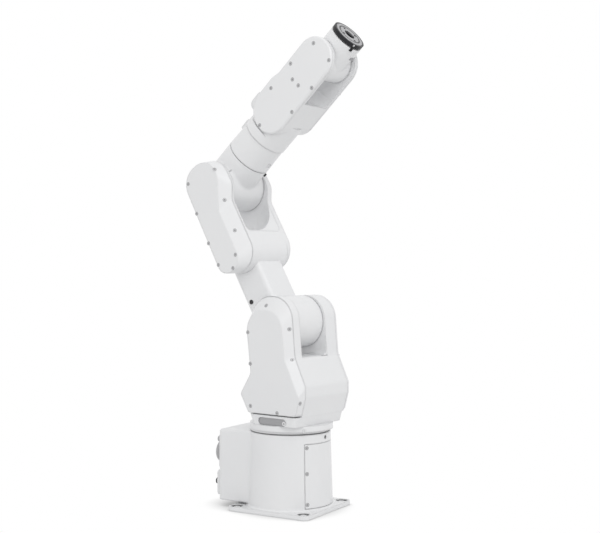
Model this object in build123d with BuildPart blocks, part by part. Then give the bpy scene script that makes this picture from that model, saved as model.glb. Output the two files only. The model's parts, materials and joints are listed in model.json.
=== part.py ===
"""Six-axis industrial robot arm, all sizes in millimetres, angles in degrees.

The origin is the centre of the base plate's underside, +X is the arm's front and +Z is up.
Every piece is drawn where it sits in the rest pose.
"""

import os
from math import cos, degrees, radians, sin, tan

from build123d import *

os.makedirs("parts", exist_ok=True)

# Rest pose
TURN = -7.0  # axis 1, to the left
LEAN = 30.0  # lower arm, back from upright
PITCH = 41.0  # forearm, up from level

# Distances between the six axes
AXIS_2_Z = 327.0
LOWER_ARM = 280.0
ELBOW_RISE = 10.0
FOREARM = 300.0
WRIST_REACH = 64.0

# Clearances
RUNNING = 0.3  # between a bearing and the piece that turns on it
JOINT_GAP = 1.2  # dark gap seen at a turning joint
TURN_GAP = 2.0  # the same under the shoulder
SEAM = 0.5  # between a cover and the piece it sits in

# Base
BOLT_SPACING = 134.0
BOLT_EDGE = 13.0  # from a bolt's centre to the plate's edge
PLATE = BOLT_SPACING + 2 * BOLT_EDGE
PLATE_T = 8.0
PLATE_ROUND = 9.0
BOLT_R = 5.5
SPOT_R = 10.5
SPOT_DEPTH = 1.5
COLUMN_LOW_R = 75.5
COLUMN_TOP_R = 71.4
COLUMN_TOP = 136.5
COLUMN_FOOT = 3.0
BOX_REAR = 115.0
BOX_HALF = 56.0
BOX_LOW = 12.5
BOX_ROUND = 8.0
BOX_EDGE = 3.0
BOX_BLEND = 14.0
BLEND_EDGE = 1.0  # least bulge of the column left beside its blend
FRONT_COVER_ANGLE = 39.0
FRONT_COVER_LOW = 11.5
FRONT_COVER_HIGH = 121.0
FRONT_COVER_T = 3.0
PORT_Z = 129.5
PORT_R = 3.5
PORT_DEPTH = 6.0

# Connectors at the back of the base
PANEL_HALF = 48.0
PANEL_LOW = 66.0
PANEL_HIGH = 127.0
PANEL_T = 3.0
PANEL_ROUND = 5.0
LOWER_COVER_LOW = 18.0
LOWER_COVER_HIGH = 62.0
LOWER_COVER_T = 8.5
CONNECTOR_Y = 24.0
CONNECTOR_Z = 93.0
POWER_R = 19.0
SIGNAL_R = 14.0
CONNECTOR_LENGTH = 10.5
SOCKET_DEPTH = 7.0
SOCKET_WALL = 3.0
USER_Y = 41.0
USER_Z = 117.0
USER_R = 5.0
USER_LENGTH = 5.0
AIR_R = 5.0
AIR_BORE_R = 2.5
AIR_LENGTH = 9.0
AIR_STEP = 22.0
AIR_COUNT = 4

# Shoulder
RING_R = 70.0
RING_T = 3.5
FOOT_R = 72.5
FOOT_FORWARD = 4.0
FOOT_TOP = 152.0
SKIRT_HALF = 68.5
SKIRT_ROUND = 9.0
SKIRT_FRONT = 63.0
SKIRT_REAR = 30.0
COVER_LOW = 170.0
COVER_LOW_FRONT = 68.0
COVER_LOW_REAR = 38.0
COVER_LOW_ROUND = 8.0
BULGE_Z = 203.0
BULGE_TOP_Z = 222.0
BULGE_FRONT = 77.0
BULGE_FRONT_ROUND = 14.0
BULGE_REAR = 56.0
BULGE_REAR_ROUND = 6.0
WAIST_Z = 270.0
WAIST_FRONT = 54.5
WAIST_ROUND = 30.0
NECK_Z = 240.0
NECK_REAR = 33.0
NECK_ROUND = 14.0
YOKE_R = 46.0
YOKE_TOP_FIT = 0.92  # share of the yoke's half width taken by each rounded top corner
YOKE_FACE_FIT = 0.77
YOKE_EAR = 18.8
YOKE_COVER = 15.0
FAR_YOKE_EAR = 29.8
FAR_YOKE_COVER = 5.5
CROTCH_DROP = 58.0
CROTCH_SLOPE = 25.0
CROTCH_EDGE = 7.0
TOP_BEVEL = 24.0
FRONT_BEVEL = 12.0
EDGE_BEVEL = 4.0
REAR_BEVEL = 1.5
ACCESS_X = 14.5
ACCESS_Z = 159.0
ACCESS_LENGTH = 61.0
ACCESS_WIDTH = 12.0
ACCESS_DEPTH = 3.0
ACCESS_T = 1.5
BEARING_2_R = 34.0

# Lower arm
LINK_REAR = 47.0
LINK_FRONT = 14.0
LINK_HALF = 35.0
LINK_ROUND = 9.0
FORK_R = 43.5
FORK_FIT = 0.97  # share of the fork's half width taken by each rounded top corner
FORK_FACE_FIT = 0.8
FORK_CHEEK_OUT = 1.5
FORK_FRONT = 30.0
FORK_NECK_HIGH = 24.0
FORK_NECK_LOW = 48.0
FORK_NECK_ROUND = 25.0
FORK_LOW = 171.0
FORK_LOW_ROUND = 37.0
FORK_FACE_ROUND = 22.0
FORK_EAR = 4.5
FORK_COVER = 18.0
FAR_FORK_LOW = 165.0
FAR_FORK_EAR = 11.5
FORK_SIDE_GAP = 3.5
FORK_CROTCH = 111.0
FORK_CROTCH_ROUND = 9.0
FORK_BEVEL = 25.0
CHEEK_BEVEL = 11.0
HEAD_BEVEL = 1.5
BEARING_3_R = 34.0
PLUG_R = 4.0
PLUG_T = 1.2
PLUG_ALONG = 59.0
PLUG_REAR = 34.0

# Elbow and forearm
ELBOW_INSET = 1.0
ELBOW_BLEND = 7.0
TUBE_R = 42.0
TUBE_BACK = 40.0
TUBE_BACK_ROUND = 30.0
SEAM_4 = 70.0
SEAM_5 = 121.0
TUBE_TAPER = 1.5
PAD_START = 98.0
PAD_HALF = 15.0
PAD_RISE = 1.5
PAD_ROUND = 4.0
BEARING_4_R = 37.0
WRIST_START = 139.5
FAR_WRIST_START = 147.0
WRIST_INSET = 2.0
WRIST_COVER = 5.0
WRIST_EAR = 5.0
WRIST_NOSE_R = 38.5
WRIST_LOW = 40.5
WRIST_HIGH = 43.0
WRIST_FIT = 0.97  # share of the wrist's half height taken by each rounded corner
WRIST_STEP = 82.0
WRIST_STEP_RUN = 16.0
WRIST_STEP_ROUND = 12.0
WRIST_BEVEL = 2.0
FLANGE_CLEAR = 6.0
HUMP_START = 143.0
HUMP_LENGTH = 34.0
HUMP_RISE = 15.0
HUMP_HALF = 20.0
HUMP_ROUND = 11.0
BEARING_5_R = 24.0

# Wrist and tool flange
TILT_FLAT = 2.2  # half the flat between the housing's rounded sides
TILT_END = 55.0
FLANGE_R = 30.5
FLANGE_T = 6.0
FACE_R = 27.0
FACE_T = 3.0
BEARING_6_R = 24.0
TOOL_CIRCLE = 31.5
TOOL_HOLES = 4
TOOL_HOLE_R = 2.5
TOOL_BORE_R = 10.0

# Half widths that follow from the pieces held between them
YOKE_GAP = LINK_HALF + JOINT_GAP
YOKE_SEAT = YOKE_GAP + YOKE_EAR
YOKE_FACE = YOKE_SEAT + YOKE_COVER
FAR_YOKE_SEAT = YOKE_GAP + FAR_YOKE_EAR
FORK_CHEEK = FORK_R + FORK_CHEEK_OUT
ELBOW_R = FORK_R - ELBOW_INSET
ELBOW_HALF = TUBE_R + FORK_SIDE_GAP
FORK_GAP = ELBOW_HALF + JOINT_GAP
FORK_SEAT = FORK_GAP + FORK_EAR
FORK_FACE = FORK_SEAT + FORK_COVER
FAR_FORK_SEAT = FORK_GAP + FAR_FORK_EAR
WRIST_FACE = TUBE_R - WRIST_INSET
WRIST_SEAT = WRIST_FACE - WRIST_COVER
WRIST_GAP = WRIST_SEAT - WRIST_EAR
TILT_HALF = WRIST_GAP - JOINT_GAP
TILT_R = TILT_HALF + TILT_FLAT
SCOOP_R = (WRIST_REACH**2 + FLANGE_R**2) ** 0.5 + FLANGE_CLEAR


def turned(angle, first, second):
    """The first direction swung toward the second."""
    return first * cos(radians(angle)) + second * sin(radians(angle))


def outline(plane, corners, rounds):
    """A closed outline with rounded corners."""
    with BuildSketch(plane, mode=Mode.PRIVATE) as shape:
        with BuildLine():
            FilletPolyline(*corners, radius=rounds, close=True)
        make_face()
    return shape.sketch


# Directions and planes of each link. Side planes face the near side, which is the arm's right.
up = Vector(0, 0, 1)
forward = turned(TURN, Vector(1, 0, 0), Vector(0, 1, 0))
near = forward.cross(up)
link_front = turned(LEAN, forward, up)
link_up = turned(LEAN, up, forward * -1)
ahead = turned(PITCH, forward, up)
above = turned(PITCH, up, forward * -1)

axis_2 = up * AXIS_2_Z
axis_3 = axis_2 + link_up * LOWER_ARM
axis_4 = axis_3 + above * ELBOW_RISE
axis_5 = axis_4 + ahead * FOREARM

shoulder_side = Plane(origin=(0, 0, 0), x_dir=forward, z_dir=near)
axis_2_side = Plane(origin=axis_2, x_dir=link_front, z_dir=near)
link_section = Plane(origin=axis_2, x_dir=link_front, z_dir=link_up)
axis_3_side = Plane(origin=axis_3, x_dir=link_front, z_dir=near)
fork_slot = Plane(origin=axis_3, x_dir=near * -1, z_dir=link_front)
forearm_side = Plane(origin=axis_4, x_dir=ahead, z_dir=near)
forearm_section = Plane(origin=axis_4, x_dir=near, z_dir=ahead)
wrist_side = Plane(origin=axis_5, x_dir=ahead, z_dir=near)
wrist_section = Plane(origin=axis_5, x_dir=near, z_dir=ahead)
rear_side = Plane(origin=(-BOX_REAR, 0, 0), x_dir=(0, -1, 0), z_dir=(-1, 0, 0))

# Base casting: bolted plate, drafted column and the box behind it
column_draft = (COLUMN_LOW_R - COLUMN_TOP_R) / (COLUMN_TOP - PLATE_T)
cover_low_r = COLUMN_LOW_R - column_draft * (FRONT_COVER_LOW - PLATE_T)
cover_high_r = COLUMN_LOW_R - column_draft * (FRONT_COVER_HIGH - PLATE_T)
cover_edge = turned(-FRONT_COVER_ANGLE, Vector(1, 0, 0), Vector(0, 1, 0))
cover_plane = Plane(origin=(0, 0, 0), x_dir=cover_edge, z_dir=cover_edge.cross(up))
box_blend = min(BOX_BLEND, COLUMN_TOP_R - BOX_HALF - BLEND_EDGE)
port_plane = Plane(origin=(COLUMN_TOP_R, 0, PORT_Z), x_dir=(0, 1, 0), z_dir=(1, 0, 0))

with BuildPart() as base_casting:
    with BuildSketch(Plane.XY.offset(BOX_LOW)):
        with BuildLine():
            FilletPolyline(
                (0, -BOX_HALF),
                (-BOX_REAR, -BOX_HALF),
                (-BOX_REAR, BOX_HALF),
                (0, BOX_HALF),
                radius=(0, BOX_ROUND, BOX_ROUND, 0),
                close=True,
            )
        make_face()
    extrude(amount=COLUMN_TOP - BOX_LOW)
    chamfer(base_casting.faces().sort_by(Axis.Z)[-1].edges(), BOX_EDGE)
    with BuildSketch(Plane.XY):
        RectangleRounded(PLATE, PLATE, PLATE_ROUND)
    extrude(amount=PLATE_T)
    with BuildSketch(Plane.XZ):
        with BuildLine():
            Polyline(
                (0, 0),
                (COLUMN_LOW_R + COLUMN_FOOT, 0),
                (COLUMN_LOW_R + COLUMN_FOOT, PLATE_T),
                (COLUMN_LOW_R, PLATE_T + COLUMN_FOOT),
                (COLUMN_TOP_R, COLUMN_TOP),
                (0, COLUMN_TOP),
                close=True,
            )
        make_face()
    revolve(axis=Axis.Z)
    fillet(base_casting.edges().filter_by(GeomType.HYPERBOLA), box_blend)
    with BuildSketch(cover_plane):
        with BuildLine():
            Polyline(
                (cover_low_r - FRONT_COVER_T, FRONT_COVER_LOW),
                (PLATE, FRONT_COVER_LOW),
                (PLATE, FRONT_COVER_HIGH),
                (cover_high_r - FRONT_COVER_T, FRONT_COVER_HIGH),
                close=True,
            )
        make_face()
    revolve(axis=Axis.Z, revolution_arc=2 * FRONT_COVER_ANGLE, mode=Mode.SUBTRACT)
    with BuildSketch(port_plane):
        Circle(PORT_R)
    extrude(amount=-PORT_DEPTH, both=True, mode=Mode.SUBTRACT)
    with Locations(Plane.XY.offset(PLATE_T)):
        with GridLocations(BOLT_SPACING, BOLT_SPACING, 2, 2):
            CounterBoreHole(BOLT_R, SPOT_R, SPOT_DEPTH)
base_casting.part.label = "base_casting"
export_step(base_casting.part, "parts/base_casting.step")

# Curved cover let into the front of the column
seam_angle = FRONT_COVER_ANGLE - degrees(SEAM / COLUMN_TOP_R)
seam_edge = turned(-seam_angle, Vector(1, 0, 0), Vector(0, 1, 0))
seam_plane = Plane(origin=(0, 0, 0), x_dir=seam_edge, z_dir=seam_edge.cross(up))

with BuildPart() as base_front_cover:
    with BuildSketch(seam_plane):
        with BuildLine():
            Polyline(
                (cover_low_r - FRONT_COVER_T + SEAM, FRONT_COVER_LOW + SEAM),
                (cover_low_r, FRONT_COVER_LOW + SEAM),
                (cover_high_r, FRONT_COVER_HIGH - SEAM),
                (cover_high_r - FRONT_COVER_T + SEAM, FRONT_COVER_HIGH - SEAM),
                close=True,
            )
        make_face()
    revolve(axis=Axis.Z, revolution_arc=2 * seam_angle)
base_front_cover.part.label = "base_front_cover"
export_step(base_front_cover.part, "parts/base_front_cover.step")

# Rear panel with the power, signal and user connectors, and the cover below it with the air fittings
with BuildPart() as rear_connector_panel:
    with BuildSketch(rear_side):
        with Locations((0, (PANEL_LOW + PANEL_HIGH) / 2)):
            RectangleRounded(2 * PANEL_HALF, PANEL_HIGH - PANEL_LOW, PANEL_ROUND)
    extrude(amount=PANEL_T)
rear_connector_panel.part.label = "rear_connector_panel"
export_step(rear_connector_panel.part, "parts/rear_connector_panel.step")

with BuildPart() as rear_lower_cover:
    with BuildSketch(rear_side):
        with Locations((0, (LOWER_COVER_LOW + LOWER_COVER_HIGH) / 2)):
            RectangleRounded(2 * PANEL_HALF, LOWER_COVER_HIGH - LOWER_COVER_LOW, PANEL_ROUND)
    extrude(amount=LOWER_COVER_T)
    chamfer(rear_lower_cover.faces().sort_by(Axis.X)[0].edges(), LOWER_COVER_T / 4)
rear_lower_cover.part.label = "rear_lower_cover"
export_step(rear_lower_cover.part, "parts/rear_lower_cover.step")

with BuildPart() as power_connector:
    with BuildSketch(rear_side.offset(PANEL_T)):
        with Locations((CONNECTOR_Y, CONNECTOR_Z)):
            Circle(POWER_R)
    extrude(amount=CONNECTOR_LENGTH)
    with BuildSketch(rear_side.offset(PANEL_T + CONNECTOR_LENGTH)):
        with Locations((CONNECTOR_Y, CONNECTOR_Z)):
            Circle(POWER_R - SOCKET_WALL)
    extrude(amount=-SOCKET_DEPTH, mode=Mode.SUBTRACT)
power_connector.part.label = "power_connector"
export_step(power_connector.part, "parts/power_connector.step")

with BuildPart() as signal_connector:
    with BuildSketch(rear_side.offset(PANEL_T)):
        with Locations((-CONNECTOR_Y, CONNECTOR_Z)):
            Circle(SIGNAL_R)
    extrude(amount=CONNECTOR_LENGTH)
    with BuildSketch(rear_side.offset(PANEL_T + CONNECTOR_LENGTH)):
        with Locations((-CONNECTOR_Y, CONNECTOR_Z)):
            Circle(SIGNAL_R - SOCKET_WALL)
    extrude(amount=-SOCKET_DEPTH, mode=Mode.SUBTRACT)
signal_connector.part.label = "signal_connector"
export_step(signal_connector.part, "parts/signal_connector.step")

with BuildPart() as user_connector:
    with BuildSketch(rear_side.offset(PANEL_T)):
        with Locations((USER_Y, USER_Z)):
            Circle(USER_R)
    extrude(amount=USER_LENGTH)
user_connector.part.label = "user_connector"
export_step(user_connector.part, "parts/user_connector.step")

with BuildPart() as air_fittings:
    with BuildSketch(rear_side.offset(LOWER_COVER_T)):
        with Locations((0, (LOWER_COVER_LOW + LOWER_COVER_HIGH) / 2)):
            with GridLocations(AIR_STEP, 0, AIR_COUNT, 1):
                Circle(AIR_R)
                Circle(AIR_BORE_R, mode=Mode.SUBTRACT)
    extrude(amount=AIR_LENGTH)
air_fittings.part.label = "air_fittings"
export_step(air_fittings.part, "parts/air_fittings.step")

# Axis 1 bearing ring, seen as a dark line between base and shoulder
shoulder_low = COLUMN_TOP + TURN_GAP

with BuildPart() as axis_1_bearing:
    with BuildSketch(Plane.XY.offset(COLUMN_TOP)):
        Circle(RING_R - TURN_GAP)
    extrude(amount=TURN_GAP - RUNNING)
axis_1_bearing.part.label = "axis_1_bearing"
export_step(axis_1_bearing.part, "parts/axis_1_bearing.step")

# Shoulder yoke: turning foot, drafted skirt, bulged body and two ears
yoke_top = AXIS_2_Z + YOKE_R
crotch_z = AXIS_2_Z - CROTCH_DROP


def yoke_corners(low):
    """The shoulder's side outline down to its lower end."""
    return (
        (-YOKE_R, yoke_top),
        (YOKE_R, yoke_top),
        (WAIST_FRONT, WAIST_Z),
        (BULGE_FRONT, BULGE_TOP_Z),
        (BULGE_FRONT, BULGE_Z),
        (COVER_LOW_FRONT, low),
        (-COVER_LOW_REAR, low),
        (-BULGE_REAR, BULGE_Z),
        (-NECK_REAR, NECK_Z),
    )


def yoke_rounds(low_round):
    """The roundings of the shoulder's side outline."""
    return (
        YOKE_TOP_FIT * YOKE_R,
        YOKE_TOP_FIT * YOKE_R,
        WAIST_ROUND,
        BULGE_FRONT_ROUND,
        BULGE_FRONT_ROUND,
        low_round,
        low_round,
        BULGE_REAR_ROUND,
        NECK_ROUND,
    )


yoke_face_corners = (
    (-YOKE_R + REAR_BEVEL, yoke_top - TOP_BEVEL),
    (YOKE_R - FRONT_BEVEL, yoke_top - TOP_BEVEL),
    (WAIST_FRONT - FRONT_BEVEL, WAIST_Z - EDGE_BEVEL),
    (BULGE_FRONT - EDGE_BEVEL, BULGE_Z),
    (BULGE_FRONT - EDGE_BEVEL - REAR_BEVEL, BULGE_Z - FRONT_BEVEL),
    (COVER_LOW_FRONT - REAR_BEVEL, COVER_LOW + REAR_BEVEL),
    (-COVER_LOW_REAR + REAR_BEVEL, COVER_LOW + REAR_BEVEL),
    (-BULGE_REAR + REAR_BEVEL, BULGE_Z),
    (-NECK_REAR + REAR_BEVEL, NECK_Z),
)
yoke_face_rounds = (
    YOKE_FACE_FIT * YOKE_R,
    YOKE_FACE_FIT * YOKE_R,
    WAIST_ROUND,
    EDGE_BEVEL,
    EDGE_BEVEL,
    COVER_LOW_ROUND - REAR_BEVEL,
    COVER_LOW_ROUND - REAR_BEVEL,
    BULGE_REAR_ROUND,
    NECK_ROUND,
)
skirt_top = COVER_LOW - SEAM
yoke_low = COVER_LOW - 2 * SEAM
turntable = Plane(origin=(0, 0, 0), x_dir=forward, z_dir=up)
crotch_run = 3 * YOKE_R
crotch_corners = (
    (-crotch_run, crotch_z - crotch_run * tan(radians(CROTCH_SLOPE))),
    (0, crotch_z),
    (WAIST_FRONT + 2 * SEAM, crotch_z),
    (BULGE_FRONT + 2 * SEAM, BULGE_TOP_Z),
    (crotch_run, BULGE_TOP_Z),
    (crotch_run, yoke_top + YOKE_R),
    (-crotch_run, yoke_top + YOKE_R),
)
crotch_rounds = (0, YOKE_R, CROTCH_EDGE, 0, 0, 0, 0)

with BuildPart() as shoulder_yoke:
    with BuildSketch(turntable.offset(shoulder_low)):
        Circle(RING_R)
    extrude(amount=FOOT_TOP - shoulder_low)
    with BuildSketch(turntable.offset(shoulder_low + RING_T)):
        with Locations((FOOT_FORWARD, 0)):
            Circle(FOOT_R)
    extrude(amount=FOOT_TOP - shoulder_low - RING_T)
    with BuildSketch(turntable.offset(FOOT_TOP)):
        with Locations(((SKIRT_FRONT - SKIRT_REAR) / 2, 0)):
            RectangleRounded(SKIRT_FRONT + SKIRT_REAR, 2 * SKIRT_HALF, SKIRT_ROUND)
    with BuildSketch(turntable.offset(skirt_top)):
        with Locations(((COVER_LOW_FRONT - COVER_LOW_REAR) / 2, 0)):
            RectangleRounded(COVER_LOW_FRONT + COVER_LOW_REAR, 2 * SKIRT_HALF, SKIRT_ROUND)
    loft(ruled=True)
    extrude(outline(shoulder_side, yoke_corners(yoke_low), yoke_rounds(0)), amount=YOKE_SEAT)
    extrude(outline(shoulder_side, yoke_corners(yoke_low), yoke_rounds(0)), amount=-FAR_YOKE_SEAT)
    extrude(
        outline(shoulder_side, crotch_corners, crotch_rounds),
        amount=YOKE_GAP,
        both=True,
        mode=Mode.SUBTRACT,
    )
    with BuildSketch(shoulder_side.offset(SKIRT_HALF)):
        with Locations((ACCESS_X, ACCESS_Z)):
            SlotOverall(ACCESS_LENGTH, ACCESS_WIDTH)
    extrude(amount=-ACCESS_DEPTH, mode=Mode.SUBTRACT)
shoulder_yoke.part.label = "shoulder_yoke"
export_step(shoulder_yoke.part, "parts/shoulder_yoke.step")

with BuildPart() as shoulder_near_cover:
    loft(
        [
            outline(shoulder_side.offset(YOKE_SEAT), yoke_corners(COVER_LOW), yoke_rounds(COVER_LOW_ROUND)),
            outline(shoulder_side.offset(YOKE_FACE), yoke_face_corners, yoke_face_rounds),
        ],
        ruled=True,
    )
shoulder_near_cover.part.label = "shoulder_near_cover"
export_step(shoulder_near_cover.part, "parts/shoulder_near_cover.step")

with BuildPart() as shoulder_far_cover:
    extrude(
        outline(shoulder_side.offset(-FAR_YOKE_SEAT), yoke_corners(COVER_LOW), yoke_rounds(COVER_LOW_ROUND)),
        amount=-FAR_YOKE_COVER,
    )
    shoulder_far_face = shoulder_far_cover.faces().sort_by(Axis((0, 0, 0), near))[0]
    chamfer(shoulder_far_face.edges(), REAR_BEVEL)
shoulder_far_cover.part.label = "shoulder_far_cover"
export_step(shoulder_far_cover.part, "parts/shoulder_far_cover.step")

with BuildPart() as access_plate:
    with BuildSketch(shoulder_side.offset(SKIRT_HALF - ACCESS_DEPTH)):
        with Locations((ACCESS_X, ACCESS_Z)):
            SlotOverall(ACCESS_LENGTH - 2 * SEAM, ACCESS_WIDTH - 2 * SEAM)
    extrude(amount=ACCESS_T)
access_plate.part.label = "access_plate"
export_step(access_plate.part, "parts/access_plate.step")

with BuildPart() as axis_2_near_bearing:
    with BuildSketch(axis_2_side.offset(YOKE_GAP)):
        Circle(BEARING_2_R)
    extrude(amount=RUNNING - JOINT_GAP)
axis_2_near_bearing.part.label = "axis_2_near_bearing"
export_step(axis_2_near_bearing.part, "parts/axis_2_near_bearing.step")

with BuildPart() as axis_2_far_bearing:
    mirror(axis_2_near_bearing.part, about=axis_2_side)
axis_2_far_bearing.part.label = "axis_2_far_bearing"
export_step(axis_2_far_bearing.part, "parts/axis_2_far_bearing.step")


# Lower arm: hub on axis 2, straight link and the fork on axis 3
def fork_corners(low):
    """The fork's side outline down to its lower end."""
    return (
        (-FORK_R, FORK_R),
        (FORK_CHEEK, FORK_R),
        (FORK_CHEEK, -FORK_NECK_HIGH),
        (FORK_FRONT, -FORK_NECK_LOW),
        (FORK_FRONT, -low),
        (-LINK_REAR, -low),
    )


def fork_face_corners(low):
    """The flat outer face of an elbow cover, inside its bevels."""
    return (
        (-FORK_R + HEAD_BEVEL, FORK_R - HEAD_BEVEL),
        (FORK_CHEEK - CHEEK_BEVEL, FORK_R - HEAD_BEVEL),
        (FORK_CHEEK - CHEEK_BEVEL, -HEAD_BEVEL),
        (FORK_FRONT - FORK_BEVEL, -FORK_NECK_LOW - CHEEK_BEVEL),
        (FORK_FRONT - FORK_BEVEL, -low + CHEEK_BEVEL / 2),
        (-LINK_REAR + HEAD_BEVEL, -low + CHEEK_BEVEL / 2),
    )


fork_rounds = (
    FORK_FIT * FORK_R,
    FORK_FIT * FORK_R,
    FORK_NECK_ROUND,
    FORK_NECK_ROUND,
    FORK_LOW_ROUND,
    FORK_LOW_ROUND,
)
fork_face_rounds = (
    FORK_FACE_FIT * FORK_R,
    FORK_FACE_FIT * FORK_R,
    FORK_NECK_ROUND,
    FORK_NECK_ROUND,
    FORK_FACE_ROUND,
    FORK_FACE_ROUND,
)
link_depth = LINK_REAR + LINK_FRONT
link_middle = (LINK_FRONT - LINK_REAR) / 2

with BuildPart() as lower_arm_casting:
    with BuildSketch(axis_2_side):
        Circle(YOKE_R)
    extrude(amount=LINK_HALF, both=True)
    with BuildSketch(link_section):
        with Locations((link_middle, 0)):
            RectangleRounded(link_depth, 2 * LINK_HALF, LINK_ROUND)
    extrude(amount=LOWER_ARM - FORK_CROTCH - FORK_LOW_ROUND)
    extrude(
        outline(axis_3_side.offset(FORK_SEAT), fork_corners(FORK_LOW), fork_rounds),
        amount=-FORK_SEAT - FORK_GAP,
    )
    extrude(
        outline(axis_3_side.offset(-FORK_GAP), fork_corners(FAR_FORK_LOW), fork_rounds),
        amount=-FAR_FORK_EAR,
    )
    with BuildSketch(fork_slot):
        with Locations((0, (2 * FORK_R - FORK_CROTCH) / 2)):
            RectangleRounded(2 * FORK_GAP, 2 * FORK_R + FORK_CROTCH, FORK_CROTCH_ROUND)
    extrude(amount=2 * FORK_CHEEK, both=True, mode=Mode.SUBTRACT)
lower_arm_casting.part.label = "lower_arm_casting"
export_step(lower_arm_casting.part, "parts/lower_arm_casting.step")

with BuildPart() as elbow_near_cover:
    loft(
        [
            outline(axis_3_side.offset(FORK_SEAT), fork_corners(FORK_LOW), fork_rounds),
            outline(axis_3_side.offset(FORK_FACE), fork_face_corners(FORK_LOW), fork_face_rounds),
        ],
        ruled=True,
    )
elbow_near_cover.part.label = "elbow_near_cover"
export_step(elbow_near_cover.part, "parts/elbow_near_cover.step")

with BuildPart() as elbow_far_cover:
    loft(
        [
            outline(axis_3_side.offset(-FAR_FORK_SEAT), fork_corners(FAR_FORK_LOW), fork_rounds),
            outline(axis_3_side.offset(-FORK_FACE), fork_face_corners(FAR_FORK_LOW), fork_face_rounds),
        ],
        ruled=True,
    )
elbow_far_cover.part.label = "elbow_far_cover"
export_step(elbow_far_cover.part, "parts/elbow_far_cover.step")

with BuildPart() as cable_hole_plug:
    with BuildSketch(axis_2_side.offset(LINK_HALF)):
        with Locations((-PLUG_REAR, PLUG_ALONG)):
            Circle(PLUG_R)
    extrude(amount=PLUG_T)
cable_hole_plug.part.label = "cable_hole_plug"
export_step(cable_hole_plug.part, "parts/cable_hole_plug.step")

with BuildPart() as axis_3_near_bearing:
    with BuildSketch(axis_3_side.offset(FORK_GAP)):
        Circle(BEARING_3_R)
    extrude(amount=RUNNING - JOINT_GAP)
axis_3_near_bearing.part.label = "axis_3_near_bearing"
export_step(axis_3_near_bearing.part, "parts/axis_3_near_bearing.step")

with BuildPart() as axis_3_far_bearing:
    mirror(axis_3_near_bearing.part, about=axis_3_side)
axis_3_far_bearing.part.label = "axis_3_far_bearing"
export_step(axis_3_far_bearing.part, "parts/axis_3_far_bearing.step")

# Elbow: drum on axis 3 with the first length of the forearm tube, closed by a rounded back
with BuildPart() as elbow_housing:
    with BuildSketch(axis_3_side):
        Circle(ELBOW_R)
    extrude(amount=ELBOW_HALF, both=True)
    with BuildSketch(forearm_side):
        with BuildLine():
            FilletPolyline(
                (-TUBE_BACK, 0),
                (-TUBE_BACK, TUBE_R),
                (SEAM_4, TUBE_R),
                (SEAM_4, 0),
                radius=(0, TUBE_BACK_ROUND, 0, 0),
                close=True,
            )
        make_face()
    revolve(axis=Axis(axis_4, ahead))
    fillet(elbow_housing.edges().filter_by(GeomType.BSPLINE), ELBOW_BLEND)
elbow_housing.part.label = "elbow_housing"
export_step(elbow_housing.part, "parts/elbow_housing.step")

with BuildPart() as axis_4_bearing:
    with BuildSketch(forearm_section.offset(SEAM_4)):
        Circle(BEARING_4_R)
    extrude(amount=JOINT_GAP - RUNNING)
axis_4_bearing.part.label = "axis_4_bearing"
export_step(axis_4_bearing.part, "parts/axis_4_bearing.step")

# Forearm: tapered extension tube with a flat pad on top, then the wrist fork with its covers
pad_top = TUBE_R + PAD_RISE
pad_plane = Plane(origin=axis_4, x_dir=ahead, z_dir=above)

with BuildPart() as forearm_tube:
    with BuildSketch(forearm_side):
        with BuildLine():
            Polyline(
                (SEAM_4 + JOINT_GAP, 0),
                (SEAM_4 + JOINT_GAP, TUBE_R),
                (SEAM_5, TUBE_R - TUBE_TAPER),
                (SEAM_5, 0),
                close=True,
            )
        make_face()
    revolve(axis=Axis(axis_4, ahead))
    with BuildSketch(pad_plane):
        with Locations(((PAD_START + SEAM_5) / 2, 0)):
            RectangleRounded(SEAM_5 - PAD_START, 2 * PAD_HALF, PAD_ROUND)
    extrude(amount=pad_top)
forearm_tube.part.label = "forearm_tube"
export_step(forearm_tube.part, "parts/forearm_tube.step")

wrist_end = FOREARM + WRIST_NOSE_R


def wrist_corners(start):
    """The wrist's side outline from its rounded lower end to its nose."""
    return (
        (start, -WRIST_LOW),
        (wrist_end, -WRIST_NOSE_R),
        (wrist_end, WRIST_NOSE_R),
        (FOREARM - WRIST_STEP + WRIST_STEP_RUN, WRIST_NOSE_R),
        (FOREARM - WRIST_STEP, WRIST_HIGH),
        (start, WRIST_HIGH),
    )


wrist_rounds = (
    WRIST_FIT * WRIST_LOW,
    WRIST_FIT * WRIST_NOSE_R,
    WRIST_FIT * WRIST_NOSE_R,
    WRIST_STEP_ROUND,
    WRIST_STEP_ROUND,
    WRIST_FIT * WRIST_HIGH,
)
collar_start = SEAM_5 + SEAM
collar_end = WRIST_START + WRIST_LOW
hump_top = WRIST_HIGH + HUMP_RISE
hump_end = HUMP_START + HUMP_LENGTH

with BuildPart() as wrist_fork:
    with BuildSketch(forearm_section.offset(collar_start)):
        Circle(TUBE_R)
    extrude(amount=WRIST_START - SEAM - collar_start)
    with BuildSketch(forearm_section.offset(collar_start)):
        Circle(TUBE_R)
        Rectangle(2 * WRIST_SEAT, 2 * TUBE_R, mode=Mode.INTERSECT)
    extrude(amount=collar_end - collar_start)
    extrude(outline(forearm_side, wrist_corners(WRIST_START), wrist_rounds), amount=WRIST_SEAT)
    extrude(outline(forearm_side, wrist_corners(FAR_WRIST_START), wrist_rounds), amount=-WRIST_SEAT)
    with BuildSketch(forearm_side):
        with BuildLine():
            FilletPolyline(
                (HUMP_START, 0),
                (HUMP_START, hump_top),
                (hump_end, hump_top),
                (hump_end + HUMP_RISE, 0),
                radius=(0, HUMP_ROUND, HUMP_ROUND, 0),
                close=True,
            )
        make_face()
    extrude(amount=HUMP_HALF, both=True)
    with BuildSketch(wrist_side):
        Circle(SCOOP_R)
    extrude(amount=WRIST_GAP, both=True, mode=Mode.SUBTRACT)
wrist_fork.part.label = "wrist_fork"
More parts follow.
